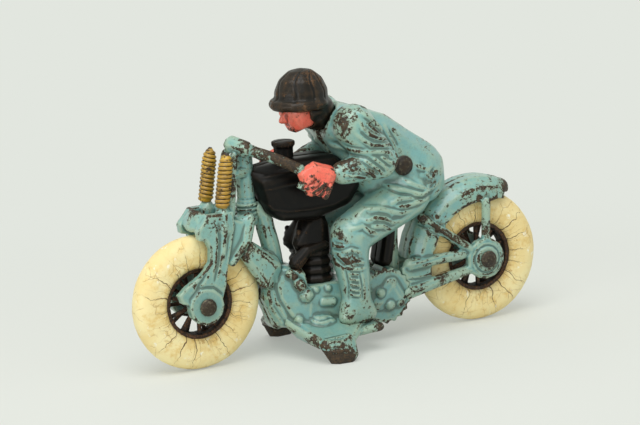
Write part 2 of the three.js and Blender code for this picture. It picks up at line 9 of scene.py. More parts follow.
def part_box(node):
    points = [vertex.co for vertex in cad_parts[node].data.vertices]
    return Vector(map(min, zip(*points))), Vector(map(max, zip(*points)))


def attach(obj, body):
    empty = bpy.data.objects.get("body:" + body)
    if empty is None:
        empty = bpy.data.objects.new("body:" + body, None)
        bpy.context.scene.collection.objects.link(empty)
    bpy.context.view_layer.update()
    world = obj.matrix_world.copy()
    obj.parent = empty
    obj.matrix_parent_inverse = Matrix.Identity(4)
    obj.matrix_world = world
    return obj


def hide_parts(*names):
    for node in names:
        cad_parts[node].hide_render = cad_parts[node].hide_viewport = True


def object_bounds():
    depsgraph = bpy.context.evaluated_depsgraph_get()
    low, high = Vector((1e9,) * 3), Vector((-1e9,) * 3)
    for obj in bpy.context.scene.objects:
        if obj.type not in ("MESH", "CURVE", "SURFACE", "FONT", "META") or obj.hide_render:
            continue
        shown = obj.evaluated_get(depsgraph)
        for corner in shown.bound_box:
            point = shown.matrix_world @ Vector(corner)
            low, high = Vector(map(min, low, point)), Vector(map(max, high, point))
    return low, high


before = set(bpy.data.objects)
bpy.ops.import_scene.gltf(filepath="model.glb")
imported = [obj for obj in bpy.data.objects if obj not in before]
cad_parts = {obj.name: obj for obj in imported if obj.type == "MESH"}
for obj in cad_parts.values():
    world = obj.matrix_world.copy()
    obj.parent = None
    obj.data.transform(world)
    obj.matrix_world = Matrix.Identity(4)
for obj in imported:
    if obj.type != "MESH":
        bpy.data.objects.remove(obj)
cad_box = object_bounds()

# ---- axles and hip rivet ----
# Three plain iron pins hold the toy together. Their ends were hammered over into low domes,
# and they have darkened to a smooth brown with a duller ring round each head.
MM = 0.001


def middle(node):
    low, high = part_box(node)
    return (low + high) / 2


def poured(part, made):
    """Adds all of one bmesh to another, and frees the first."""
    bank = bpy.data.meshes.new("bank")
    part.to_mesh(bank)
    part.free()
    made.from_mesh(bank)
    bpy.data.meshes.remove(bank)


def copied(made, node, swell):
    """Adds a merged copy of a CAD node to the bmesh, let out by swell millimetres."""
    part = bmesh.new()
    part.from_mesh(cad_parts[node].data)
    bmesh.ops.remove_doubles(part, verts=part.verts, dist=0.001 * MM)
    part.normal_update()
    for vert in part.verts:
        vert.co += vert.normal * swell * MM
    poured(part, made)


def gathered(*nodes, swell=0.0):
    """A new bmesh with a copy of each CAD node in it."""
    made = bmesh.new()
    for node in nodes:
        copied(made, node, swell)
    return made


def skinned(made, voxel, rounds, levels=0):
    """One smooth closed skin over all the volumes in the bmesh, which it uses up."""
    rough = bpy.data.meshes.new("rough")
    made.to_mesh(rough)
    made.free()
    holder = bpy.data.objects.new("rough", rough)
    bpy.context.scene.collection.objects.link(holder)
    remesh = holder.modifiers.new("remesh", "REMESH")
    remesh.mode = "VOXEL"
    remesh.voxel_size = voxel * MM
    relax = holder.modifiers.new("relax", "SMOOTH")
    relax.factor = 0.5
    relax.iterations = rounds
    if levels:
        finer = holder.modifiers.new("finer", "SUBSURF")
        finer.levels = finer.render_levels = levels
    seen = bpy.context.evaluated_depsgraph_get()
    mesh = bpy.data.meshes.new_from_object(holder.evaluated_get(seen))
    bpy.data.objects.remove(holder)
    bpy.data.meshes.remove(rough)
    return mesh


def spots(mesh):
    """The mesh's points and their normals, as two arrays."""
    place = np.zeros(len(mesh.vertices) * 3)
    facing = np.zeros(len(mesh.vertices) * 3)
    mesh.vertices.foreach_get("co", place)
    mesh.vertices.foreach_get("normal", facing)
    return place.reshape(-1, 3), facing.reshape(-1, 3)


def put(mesh, place):
    """Moves the mesh's points to those places."""
    mesh.vertices.foreach_set("co", place.ravel())
    mesh.update()


def marked(mesh, name, values):
    """Keeps a number for each point of the mesh, for its material to read."""
    mark = mesh.attributes.new(name, "FLOAT", "POINT")
    mark.data.foreach_set("value", values.astype(np.float32))


def averaged(mesh, place, rounds):
    """The points after that many rounds of moving each halfway to the mean of its neighbours."""
    ends = np.zeros(len(mesh.edges) * 2, int)
    mesh.edges.foreach_get("vertices", ends)
    one, other = ends.reshape(-1, 2).T
    count = len(place)
    ways = np.bincount(ends, minlength=count)[:, None]
    for _ in range(rounds):
        total = np.stack([
            np.bincount(one, place[other, k], count) + np.bincount(other, place[one, k], count)
            for k in range(3)], axis=1)
        place = (place + total / np.maximum(ways, 1)) / 2
    return place


def near(place, centre, radius):
    """1 at a centre, falling smoothly to 0 at about twice the radius in millimetres."""
    gap = np.linalg.norm(place - np.array(centre), axis=1) / (radius * MM)
    return np.exp(-gap ** 2)


def weathered(mesh, bare=()):
    """Marks how proud each point stands of what is round it, and how much handling has bared it.
    Each bare spot is a centre, a radius in millimetres and a share."""
    place, facing = spots(mesh)
    fine = ((place - averaged(mesh, place, 8)) * facing).sum(1) / (0.13 * MM)
    broad = ((place - averaged(mesh, place, 50)) * facing).sum(1) / (0.8 * MM)
    relief = np.clip(0.7 * fine + 0.5 * broad, -1, 1)
    rubbed = np.zeros(len(place))
    for centre, radius, amount in bare:
        rubbed = np.maximum(rubbed, amount * near(place, centre, radius))
    marked(mesh, "relief", relief)
    marked(mesh, "rubbed", rubbed)
    mesh.shade_smooth()


def piece(name, mesh, finish, body, nodes):
    """Shows a mesh as a named piece of the toy, in place of its CAD nodes."""
    made = bpy.data.objects.new(name, mesh)
    bpy.context.scene.collection.objects.link(made)
    mesh.materials.clear()
    mesh.materials.append(finish)
    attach(made, body)
    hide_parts(*nodes)


class Wire:
    """A shader socket that Python can reckon with: each operator adds its node."""
    tree = None

    def __init__(self, socket):
        self.socket = socket

    @classmethod
    def add(cls, kind, settings=None, sockets=None, output=0):
        """Adds a node, sets and links it, and gives one of its outputs, or None for an end node."""
        node = cls.tree.nodes.new("ShaderNode" + kind)
        for name, value in (settings or {}).items():
            setattr(node, name, value)
        for name, value in (sockets or {}).items():
            if isinstance(value, Wire):
                cls.tree.links.new(value.socket, node.inputs[name])
            else:
                node.inputs[name].default_value = value
        return None if output is None else cls(node.outputs[output])

    def reckoned(self, operation, first, second):
        return Wire.add("Math", {"operation": operation}, {0: first, 1: second})

    def __add__(self, other):
        return self.reckoned("ADD", self, other)

    __radd__ = __add__

    def __sub__(self, other):
        return self.reckoned("SUBTRACT", self, other)

    def __rsub__(self, other):
        return self.reckoned("SUBTRACT", other, self)

    def __mul__(self, other):
        return self.reckoned("MULTIPLY", self, other)

    __rmul__ = __mul__

    def __truediv__(self, other):
        return self.reckoned("DIVIDE", self, other)

    def top(self, other):
        return self.reckoned("MAXIMUM", self, other)

    def rise(self, low, high):
        """0 below low and 1 above high, with a smooth step between."""
        return Wire.add("MapRange", {"interpolation_type": "SMOOTHSTEP"},
                        {"Value": self, "From Min": low, "From Max": high})

    def tint(self, under, over):
        """The colour under where this is 0, and over where it is 1."""
        return Wire.add("Mix", {"data_type": "RGBA"}, {0: self, 6: under, 7: over}, 2)


def shade(red, green, blue):
    """A colour from its screen values, 0 to 255."""
    return tuple(((v / 255 + 0.055) / 1.055) ** 2.4 if v > 10 else v / 3294.6
                 for v in (red, green, blue)) + (1.0,)


def grain(place, size, detail=3.0, roughness=0.55, distortion=0.0):
    """Cloudy noise whose blots are about size millimetres across."""
    return Wire.add("TexNoise", {}, {"Vector": place, "Scale": 1 / (size * MM), "Detail": detail,
                                     "Roughness": roughness, "Distortion": distortion})


def finish_of(colour, roughness, height, depth, others):
    """Ends a material with its colour, its roughness, a relief of that many millimetres on the
    surface and whatever other sockets it sets."""
    normal = Wire.add("Bump", {}, {"Strength": 1.0, "Distance": depth * MM, "Height": height})
    surface = Wire.add("BsdfPrincipled", {}, {
        "Base Color": colour, "Roughness": roughness, "Normal": normal, **others})
    Wire.add("OutputMaterial", {}, {"Surface": surface}, None)


def new_material(name):
    """An empty material, whose nodes are the next ones that Wire adds."""
    material = bpy.data.materials.new(name)
    material.use_nodes = True
    material.node_tree.nodes.clear()
    Wire.tree = material.node_tree
    return material


def iron(name, dark, brown, dust, polish):
    """Bare cast iron, browned by age, smoother and lighter where it stands proud."""
    material = new_material(name)
    place = Wire.add("TexCoord", output=3)
    relief = Wire.add("Attribute", {"attribute_name": "relief"}, output=2)
    clouds = grain(place, 5, 4, 0.6)
    pits = grain(place, 0.7, 2, 0.6)
    colour = (clouds + relief * 0.25).rise(0.38, 0.66).tint(dark, brown)
    colour = (grain(place, 1.1, 4, 0.7) + relief * 0.15).rise(0.58, 0.72).tint(colour, dust)
    rough = 0.62 - relief.rise(0.0, 0.8) * polish + pits * 0.2
    height = pits * 0.5 + clouds * 0.6
    finish_of(colour, rough, height, 0.16, {"Metallic": clouds.rise(0.3, 0.7) * 0.45})
    return material


bare_iron = iron("browned_iron", shade(24, 18, 13), shade(58, 48, 36), shade(100, 94, 74), 0.3)
for name in ("front_axle", "rear_axle", "hip_rivet"):
    pin = skinned(gathered(name), voxel=0.36, rounds=6)
    weathered(pin)
    piece(name + "_pin", pin, bare_iron, "chassis", [name])

# ---- wheels ----
# Each wheel is two spoked iron castings back to back on its axle, left rough and gone
# brown-black with rust, with the spokes of one half between those of the other.
wheel_iron = iron("rusty_wheel_iron", shade(16, 12, 9), shade(44, 31, 20), shade(92, 60, 36), 0.12)
for end in ("front", "rear"):
    for side in ("left", "right"):
        node = f"{end}_wheel_{side}"
        half = skinned(gathered(node), voxel=0.42, rounds=3)
        weathered(half)
        piece(f"{end}_spoked_half_{side}", half, wheel_iron, f"{end}_wheel", [node])

# ---- tyres ----
# Fat white rubber rings, stretched over the rims and gone cream. The rubber has hardened and
# split from the rim outwards, and dirt has settled into the splits.
WALL_SHIFT, WHEEL_SHIFT = 0.41, 0.27
WALL_SEED, COUNT_SEED = 61, 7


def split_lines(place, hub, count, wander, width, reaches):
    """Radial splits on a tyre's walls, ragged and of chance lengths: 1 along each split. The shifts
    and the seeds give each wall, wheel and set of splits its own."""
    inner, outer = reaches
    x, y, z = [Wire.add("SeparateXYZ", {}, {"Vector": place}, k) for k in range(3)]
    ahead = Wire.add("Math", {"operation": "ABSOLUTE"}, {0: x}) - hub[0]
    above = z - hub[1]
    wheel = x.rise(0, 1 * MM)
    wall = y.rise(-0.2 * MM, 0.2 * MM)
    reach = Wire.add("Math", {"operation": "SQRT"}, {0: ahead * ahead + above * above})
    outward = (reach - inner) / (outer - inner)
    bearing = Wire.add("Math", {"operation": "ARCTAN2"}, {0: above, 1: ahead})
    bend = (grain(place, 8, 2) - 0.5) * wander + (grain(place, 1.5, 4, 0.7) - 0.5) * wander * 0.16
    turn = bearing * (count / (2 * math.pi)) + bend + wall * WALL_SHIFT + wheel * WHEEL_SHIFT
    cell = Wire.add("Math", {"operation": "FLOOR"}, {0: turn})
    off_line = Wire.add("Math", {"operation": "ABSOLUTE"}, {0: turn - cell - 0.5})
    gap = off_line * reach * (2 * math.pi / count)
    seed = cell + wall * WALL_SEED + count * COUNT_SEED
    dice = Wire.add("TexWhiteNoise", {"noise_dimensions": "1D"}, {"W": seed})
    held = (dice * 1.5 + 0.2 - outward).rise(0, 0.1)
    thick = (1.25 - outward) * (dice * 0.7 + 0.5) * (width * MM)
    return (thick - gap).rise(0, 0.1 * MM) * held


def tyre_rubber(hub, reaches):
    """Yellowed rubber with two sets of splits and a net of fine cracks between them."""
    material = new_material("aged_cream_rubber")
    place = Wire.add("TexCoord", output=3)
    inward = Wire.add("Attribute", {"attribute_name": "inward"}, output=2)
    clouds = grain(place, 16, 3, 0.5)
    blots = grain(place, 4.5, 6, 0.65)
    colour = clouds.rise(0.36, 0.64).tint(shade(243, 229, 174), shade(236, 214, 150))
    colour = (blots * 0.9 + inward * 0.16).rise(0.46, 0.74).tint(colour, shade(224, 192, 118))
    stains = (grain(place, 2.6, 6, 0.75, 0.5) + inward * 0.1).rise(0.66, 0.73)
    colour = stains.tint(colour, shade(196, 158, 92))
    colour = grain(place, 5.5, 5, 0.7, 0.3).rise(0.6, 0.68).tint(colour, shade(248, 244, 222))
    wobble = Wire.add("TexNoise", {}, {"Vector": place, "Scale": 190.0, "Detail": 3.0}, 1)
    bent = Wire.add("VectorMath", {"operation": "MULTIPLY_ADD"},
                    {0: wobble, 1: (4 * MM, 4 * MM, 4 * MM), 2: place})
    cells = Wire.add("TexVoronoi", {"feature": "DISTANCE_TO_EDGE"}, {"Vector": bent, "Scale": 120.0})
    crazing = cells.rise(0.03, 0.004) * grain(place, 9, 2).rise(0.47, 0.6)
    colour = (crazing * 0.5).tint(colour, shade(168, 134, 82))
    fine = split_lines(place, hub, 43, 1.3, 0.12, reaches)
    colour = (fine * 0.7).tint(colour, shade(150, 112, 62))
    wide = split_lines(place, hub, 19, 0.8, 0.22, reaches)
    colour = (wide * 0.92).tint(colour, (inward * 0.8).tint(shade(112, 80, 44), shade(64, 44, 25)))
    height = grain(place, 0.9, 3) * 0.3 + blots * 0.35 - crazing * 0.25 - fine * 0.4 - wide * 0.9
    finish_of(colour, 0.55 + blots * 0.2, height, 0.16, {})
    return material


tyre_low, tyre_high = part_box("front_tyre")
rim_low, rim_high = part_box("front_wheel_left")
rim_overlap = 1.3 * MM
outer = (tyre_high.z - tyre_low.z) / 2
inner = (rim_high.z - rim_low.z) / 2 - rim_overlap
half_width = (tyre_high.y - tyre_low.y) / 2
half_depth = (outer - inner) / 2
section_points, spin_steps = 40, 400
hub = middle("front_tyre")
rubber = tyre_rubber((abs(hub.x), hub.z), (inner, outer))
for end in ("front", "rear"):
    centre = middle(f"{end}_tyre")
    made = bmesh.new()
    ring = []
    for k in range(section_points):
        turn = 2 * math.pi * k / section_points
        power = 1.0 if math.cos(turn) > 0 else 0.4
        level = math.copysign(abs(math.cos(turn)) ** power, math.cos(turn))
        across = math.copysign(abs(math.sin(turn)) ** 0.8, math.sin(turn))
        ring.append(made.verts.new((centre.x + inner + half_depth + half_depth * level,
                                    centre.y + half_width * across, centre.z)))
    edges = [made.edges.new((ring[k], ring[k - 1])) for k in range(section_points)]
    bmesh.ops.spin(made, geom=ring + edges, cent=centre, axis=(0, 1, 0), angle=2 * math.pi,
                   steps=spin_steps, use_merge=True)
    bmesh.ops.remove_doubles(made, verts=made.verts, dist=0.01 * MM)
    bmesh.ops.recalc_face_normals(made, faces=made.faces)
    mesh = bpy.data.meshes.new(f"{end}_tyre_rubber")
    made.to_mesh(mesh)
    made.free()
    place, facing = spots(mesh)
    x, y, z = ((place - np.array(centre)) / MM).T
    reach = np.hypot(x, z)
    bearing = np.arctan2(z, x)
    outward = np.clip((reach * MM - inner) / (outer - inner), 0, 1)
    sag = np.abs(np.sin(bearing * 5 + 1) * np.sin(bearing * 3)) + 0.5 * np.sin(bearing * 17 + y) ** 2
    put(mesh, place - facing * ((0.02 + 0.13 * sag) * MM)[:, None])
    marked(mesh, "inward", 1 - outward)
    mesh.shade_smooth()
    piece(f"{end}_rubber_tyre", mesh, rubber, f"{end}_wheel", [f"{end}_tyre"])

# ---- front end of each half casting: fork, steering head, handlebar ----
# Part of the iron half casting, brushed with blue-green enamel that has chipped to brown iron
# on every edge. A pale undercoat shows round the chips, and the handlebar is rubbed nearly bare.


def enamel(name, colours, undercoat, bare, gloss, chip=0.66, wear=1.0, coat=0.25, shine=0.5,
           grime_and_shade=(58, 74, 62), hollow_shading=0.7, shaded_depths=(0.02, 0.5)):
    """Brushed enamel over iron: chips in worn zones, an edge of undercoat round each, painted shade
    in hollows, dirt stains and specks, and a darker tone towards the bottom. A higher chip means
    fewer chips, and the last two settings give the strength and the depths of the painted shade in
    hollows."""
    material = new_material(name)
    main, other, dull = colours
    # One dark tone serves both for real dirt stains and specks and for the painted shade in hollows.
    dirt_and_shade = shade(*grime_and_shade)
    place = Wire.add("TexCoord", output=3)
    relief = Wire.add("Attribute", {"attribute_name": "relief"}, output=2)
    rubbed = Wire.add("Attribute", {"attribute_name": "rubbed"}, output=2)
    clouds = grain(place, 22, 3, 0.5)
    streaks = grain(place, 6, 5, 0.65, 0.4)
    colour = clouds.rise(0.36, 0.64).tint(main, other)
    colour = (streaks.rise(0.44, 0.68) * 0.75).tint(colour, dull)
    # Painted shade: hollows are darkened towards the dark tone, more the deeper they lie.
    shaded_hollow = (0 - relief).rise(*shaded_depths)
    colour = (shaded_hollow * hollow_shading).tint(colour, dirt_and_shade)
    stained = grain(place, 3.4, 6, 0.75).rise(0.55, 0.72)
    colour = (stained * 0.36).tint(colour, dirt_and_shade)
    # Darker towards the bottom, in the same dark tone.
    low = Wire.add("SeparateXYZ", {}, {"Vector": place}, 2).rise(70 * MM, 20 * MM)
    colour = (low * 0.2).tint(colour, dirt_and_shade)
    speckle = grain(place, 0.9, 5, 0.8).rise(0.5, 0.68)
    colour = (speckle * 0.26).tint(colour, dirt_and_shade)
    worn = grain(place, 12, 2, 0.5).rise(0.44, 0.6)
    flakes = grain(place, 1.7, 8, 0.76, 0.1)
    proud = relief.rise(0.02, 0.5)
    colour = (proud * 0.45).tint(colour, undercoat)
    loss = flakes + proud * (worn * 0.11 + 0.065) * wear + worn * 0.035 + rubbed * 0.27
    chipped = loss.rise(chip, chip + 0.014)
    edge = loss.rise(chip - 0.03, chip - 0.012)
    specks = grain(place, 0.75, 4, 0.7).rise(0.68, 0.71) * (worn * 0.7 + 0.3)
    colour = (edge * 0.6).tint(colour, undercoat)
    metal = grain(place, 1.3, 5, 0.75).rise(0.4, 0.64).tint(bare[0], bare[1])
    gone = chipped.top(specks)
    colour = gone.tint(colour, metal)
    rough = gloss + streaks * 0.14 + gone * 0.26 + shaded_hollow * 0.14
    height = 1 - gone * 0.8 - edge * 0.1 + streaks * 0.26 + grain(place, 0.6, 3) * 0.1 * (1 + gone)
    finish_of(colour, rough, height, 0.17, {
        "Coat Weight": (1 - gone) * coat, "Coat Roughness": 0.12, "Specular IOR Level": shine})
    return material


blue = enamel("chipped_blue_enamel",
              (shade(117, 169, 166), shade(126, 172, 162), shade(146, 179, 160)),
              shade(170, 186, 156), (shade(33, 25, 13), shade(76, 56, 32)), 0.26, coat=0.4)


def stroke(place, line, width, anchor):
    """How close each point is, seen from the side, to a line of millimetre (x, z) offsets from an
    anchor: 1 on the line, fading past its width and towards its ends. The second is a wider one."""
    path = np.array(line) * MM + np.array([anchor.x, anchor.z])
    flat = place[:, [0, 2]]
    best = np.full(len(flat), 1e9)
    along = np.zeros(len(flat))
    lengths = np.linalg.norm(np.diff(path, axis=0), axis=1)
    passed = 0.0
    for start, end, length in zip(path, path[1:], lengths):
        share = np.clip(((flat - start) @ (end - start)) / length ** 2, 0, 1)
        gap = np.linalg.norm(flat - start - share[:, None] * (end - start), axis=1)
        closer = gap < best
        best[closer] = gap[closer]
        along[closer] = (passed + share[closer] * length) / lengths.sum()
        passed += length
    fade = np.clip(5 * along * (1 - along) + 0.1, 0, 1)
    ridge = np.exp(-(best / (width * MM)) ** 2) * fade
    skirt = np.exp(-(best / (2.3 * width * MM)) ** 2) * fade
    return ridge, skirt


FOLD_DEPTH = 1.4


def folded(place, facing, lines, anchor, inside=0.0):
    """Raises (or, below 0, cuts) a fold along each (height, width, line), on the outer side only
    and further out than inside millimetres. A shallow trough runs along both sides of a ridge.
    FOLD_DEPTH makes all folds deeper alike."""
    outer = np.clip(facing[:, 1] * 2.2 + 0.1, 0, 1) * (place[:, 1] > inside * MM)
    for height, width, line in lines:
        ridge, skirt = stroke(place, line, width, anchor)
        rise = (ridge - 0.45 * skirt) * height * FOLD_DEPTH * MM
        place = place + facing * (rise * outer)[:, None]
    return place


def mirrored(mesh):
    """The right-hand twin of a left-hand mesh."""
    twin = mesh.copy()
    twin.transform(Matrix.Scale(-1, 4, Vector((0, 1, 0))))
    twin.flip_normals()
    twin.update()
    return twin


def both_sides(name, mesh, finish, nodes):
    """The left piece and its mirrored twin, each in place of its own half's CAD nodes."""
    twin = mirrored(mesh)
    piece("left_" + name, mesh, finish, "chassis", ["left_" + node for node in nodes])
    piece("right_" + name, twin, finish, "chassis", ["right_" + node for node in nodes])


def at_seam(place):
    """Keeps a left-hand piece on its own side of the middle plane."""
    place[:, 1] = np.maximum(place[:, 1], 0.08 * MM)
    return place


front_hub = middle("front_axle")
stem = middle("left_steering_head")
paint = 0.17
made = gathered("left_fork", "left_steering_head", "left_handlebar", swell=paint)
mesh = skinned(made, voxel=0.42, rounds=9)
place, facing = spots(mesh)
place = folded(place, facing, [
    (-0.7, 0.9, [(-8.5, 40), (-9, 30), (-7.5, 20), (-4.5, 11)]),
    (0.5, 1.0, [(-11, 40), (-11.6, 30), (-10, 20)]),
    (-0.6, 1.1, [(5.5, 8.6), (1.5, 13), (-1.5, 17)]),
    (-0.4, 0.9, [(-10, 4), (-4, 9), (3, 9.6), (9, 4.5)]),
], front_hub)
stem_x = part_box("left_steering_head")[0].x + 5.2 * MM
ring_height, ring_pitch = 0.55, 2.1
from_stem = np.hypot(place[:, 0] - stem_x, place[:, 1]) / MM
up_stem = (place[:, 2] - stem.z) / MM
collar = (from_stem < 7.5) * np.exp(-((up_stem + 10) / 3.4) ** 2)
rings = ring_height * np.cos(up_stem * 2 * math.pi / ring_pitch)
place += facing * (rings * collar * MM)[:, None]
put(mesh, at_seam(place))
bar = middle("left_handlebar")
weathered(mesh, bare=[
    (bar + Vector((4, 0, 4)) * MM, 11, 0.6), (bar + Vector((-5, 4, -1)) * MM, 8, 0.72),
    (bar + Vector((-14, 8, -9)) * MM, 6, 0.66), (stem + Vector((2, 2, 15)) * MM, 7, 0.45),
    (front_hub + Vector((-8, 12, 38)) * MM, 6, 0.45),
    (front_hub + Vector((-5, 1, 43)) * MM, 4.5, 1.5),
    (front_hub + Vector((-10, 10, 14)) * MM, 5, 0.5),
])
both_sides("front_fork_casting", mesh, blue,
           ["fork", "steering_head", "handlebar"])

# ---- fork springs ----
# A dummy spring stands in each fork, cast with the half and picked out in gold paint. Painted shade
# darkens the grooves between its coils to brown, and brown shows at the tapered tips.
gold = enamel("worn_gold_paint",
              (shade(208, 166, 46), shade(190, 146, 36), shade(156, 122, 44)),
              shade(120, 88, 40), (shade(40, 27, 15), shade(76, 52, 28)), 0.3, chip=0.72,
              # The strong hollow setting here is painted shade in the grooves between the coils.
              coat=0.1, shine=0.6, grime_and_shade=(34, 22, 10), hollow_shading=1.0, shaded_depths=(-0.12, 0.3))
low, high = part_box("left_fork_spring")
lean = math.radians(9.4)
foot = Vector((high.x - 4.1 * MM, (low.y + high.y) / 2, low.z + 0.9 * MM))
coil_radius, wire, pitch, turns = 2.95, 0.78, 1.95, 12
turn_steps = 28
coiled = pitch * turns * MM
top = (high.z - low.z) / math.cos(lean) - 1.6 * MM
made = bmesh.new()
wire_spot = Matrix.Translation((coil_radius * MM, 0, 0)) @ Matrix.Rotation(math.pi / 2, 4, "X")
bmesh.ops.create_circle(made, cap_ends=False, segments=10, radius=wire * MM, matrix=wire_spot)
bmesh.ops.spin(made, geom=made.verts[:] + made.edges[:], cent=(0, 0, 0), axis=(0, 0, 1),
               dvec=(0, 0, pitch * MM / turn_steps), angle=2 * math.pi * turns,
               steps=turn_steps * turns, use_merge=False)
bmesh.ops.holes_fill(made, edges=[e for e in made.edges if e.is_boundary], sides=12)
for start, end, wide, slim in (
        (0, coiled, 2.75, 2.75), (coiled - 1 * MM, top, 3.2, 1.6), (-1.2 * MM, 1 * MM, 2.6, 3.2)):
    halfway = Matrix.Translation((0, 0, (start + end) / 2))
    bmesh.ops.create_cone(made, cap_ends=True, segments=24, radius1=wide * MM, radius2=slim * MM,
                          depth=end - start, matrix=halfway)
taper_from, taper = 0.7, 0.55
for vert in made.verts:
    share = max(vert.co.z / top - taper_from, 0) / (1 - taper_from)
    vert.co.xy *= 1 - taper * share ** 2
bmesh.ops.transform(made, verts=made.verts,
                    matrix=Matrix.Translation(foot) @ Matrix.Rotation(-lean, 4, "Y"))
bmesh.ops.recalc_face_normals(made, faces=made.faces)
mesh = skinned(made, voxel=0.26, rounds=1)
weathered(mesh, bare=[(Vector((low.x + 3 * MM, foot.y, high.z)), 3.4, 0.9), (foot, 2.6, 0.7)])
both_sides("gold_fork_spring", mesh, gold, ["fork_spring"])

# ---- engine and gear castings: frame tubes, crankcase, stand, footboard, gear case ----
# The lower middle of the half casting: a down tube and cradle run into the crankcase, whose
# skirt spreads down to a broad foot that the toy stands on. Edges and the foot are bare.


def lump(made, balls):
    """Adds the tight skin round balls, each a place and a radius in millimetres."""
    part = bmesh.new()
    for spot, radius in balls:
        bmesh.ops.create_icosphere(part, subdivisions=2, radius=radius * MM,
                                   matrix=Matrix.Translation(spot))
    bmesh.ops.delete(part, geom=part.edges[:], context="EDGES_FACES")
    hull = bmesh.ops.convex_hull(part, input=part.verts[:])
    spare = set(hull["geom_interior"]) | set(hull["geom_unused"])
    inner = [v for v in spare if isinstance(v, bmesh.types.BMVert)]
    bmesh.ops.delete(part, geom=inner, context="VERTS")
    poured(part, made)


case = middle("left_crankcase")
gear = middle("left_gear_case")
made = gathered("left_down_tube", "left_cradle", "left_crankcase", "left_stand",
                "left_footboard", "left_gear_case", swell=paint)


def beside(centre, x, y, z):
    """The place x ahead of a centre and z above it, y out from the middle plane, in millimetres."""
    return Vector((centre.x + x * MM, y * MM, centre.z + z * MM))


for balls in (
    [((16.8, 12.6, 14.2), 2.4)], [((15, 13.6, 12.6), 2.0)],
    [((13.2, 14.2, 9.2), 2.7), ((12.4, 14.9, 7.6), 2.7)],
    [((4.4, 14.9, 5.0), 1.5)], [((-2.2, 14.6, 4.8), 1.6)],
    [((1.6, 15.6, -1.2), 2.3), ((-3.4, 15.8, -1.8), 2.1)],
    [((14.4, 14.6, -8.6), 2.3)],
    [((5.4, 16.6, -11.2), 4.6), ((0.6, 16.9, -12.2), 4.6)],
    [((-5.4, 18.2, -12.4), 1.8), ((-8.2, 18.4, -12.8), 1.5)],
):
    lump(made, [(beside(case, *spot), radius) for spot, radius in balls])
for spot, radius in (
        ((4.8, 12.7, 2.2), 2.3), ((-5.6, 12, -4.0), 2.3),
        ((0.2, 13, -4.4), 2.6), ((-2, 12.6, 4.8), 1.6)):
    lump(made, [(beside(gear, *spot), radius)])
mesh = skinned(made, voxel=0.5, rounds=3)
place, facing = spots(mesh)
place = folded(place, facing, [
    (-0.8, 1.1, [(24, 13), (22, 2), (17, -9), (13, -13)]),
    (0.5, 0.8, [(26.5, 10), (25, -2), (19.5, -12)]),
    (-0.5, 0.6, [(10, -7.5), (6, -9), (0, -8.6), (-4, -9.6)]),
    (-0.35, 0.4, [(9.5, -15.2), (4, -15.6), (-1, -15.8)]),
    (0.45, 0.7, [(20, -19), (10, -21), (0, -21)]),
], case)
foot_low, foot_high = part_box("left_stand")
place[:, 2] = np.maximum(place[:, 2], 0.0)
place[:, 1] = np.minimum(place[:, 1], foot_high.y)
put(mesh, at_seam(place))
foot = Vector(((foot_low.x + foot_high.x) / 2 + 3 * MM, foot_high.y - 5 * MM, 2 * MM))
weathered(mesh, bare=[
    (foot, 6.6, 1.6), (foot + Vector((-6, -2, 0)) * MM, 5.5, 1.4),
    (foot + Vector((6, -1, 1)) * MM, 5, 1.4),
    (foot + Vector((12, -10, 5)) * MM, 4, 0.9), (foot + Vector((18, -18, 10)) * MM, 3.4, 0.7),
    (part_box("left_footboard")[0] + Vector((1, 10, 2)) * MM, 3, 1.4),
    (gear + Vector((0, 10, -13)) * MM, 5, 0.7), (gear + Vector((-9, 8, -8)) * MM, 4, 0.6),
    (gear + Vector((6, 8, 10)) * MM, 5, 0.45), (case + Vector((13, 4, 8)) * MM, 3, 0.55),
])
both_sides("engine_frame_casting", mesh, blue,
           ["down_tube", "cradle", "crankcase", "stand", "footboard", "gear_case"])

# ---- rear frame of each half: seat tube, stays, fender ----
# The rear of the half casting: thin stays with chipped ridges run back to a ringed boss round
# the axle, under a plain domed fender with a scatter of round chips and a rubbed tail.
tail_low, tail_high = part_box("left_rear_fender")
rear_hub = middle("rear_axle")
made = gathered("left_seat_tube", "left_chain_stay", "left_seat_stay", "left_rear_fender",
                swell=paint)
mesh = skinned(made, voxel=0.5, rounds=9)
place, facing = spots(mesh)
place = folded(place, facing, [
    (0.45, 0.6, [(46, 2.6), (34, 4.2), (22, 6), (12, 6.4)]),
    (-0.4, 0.6, [(45, -4), (36, -4.6), (28, -4)]),
    (0.35, 0.6, [(33, 24), (24, 17), (15, 10), (9, 6)]),
    (-0.35, 0.5, [(36, 22.6), (26, 15.4), (16, 8.4)]),
], rear_hub)
reach = np.hypot(place[:, 0] - rear_hub.x, place[:, 2] - rear_hub.z) / MM
raised, sunk, spread = 7.6, 6.3, 0.6
boss_ring = np.exp(-((reach - raised) / spread) ** 2) - np.exp(-((reach - sunk) / spread) ** 2)
outer_side = np.clip(facing[:, 1], 0, 1) * (place[:, 1] > 8 * MM)
place += facing * (0.4 * boss_ring * outer_side * MM)[:, None]
crest = (tail_high.z - rear_hub.z) / MM - 0.35
outward = place - np.array(rear_hub)
outward[:, 1] = 0
outward /= np.linalg.norm(outward, axis=1)[:, None]
onto = np.exp(-((reach - crest) / 0.8) ** 2)
place += outward * ((crest - reach) * onto * MM)[:, None]
behind = np.clip((rear_hub.x - 5 * MM - place[:, 0]) / (5 * MM), 0, 1)
at_tail = behind * (place[:, 2] > 50 * MM)
place += (averaged(mesh, place, 120) - place) * at_tail[:, None]
put(mesh, at_seam(place))
tail = Vector((tail_low.x + 4 * MM, 3 * MM, 58 * MM))
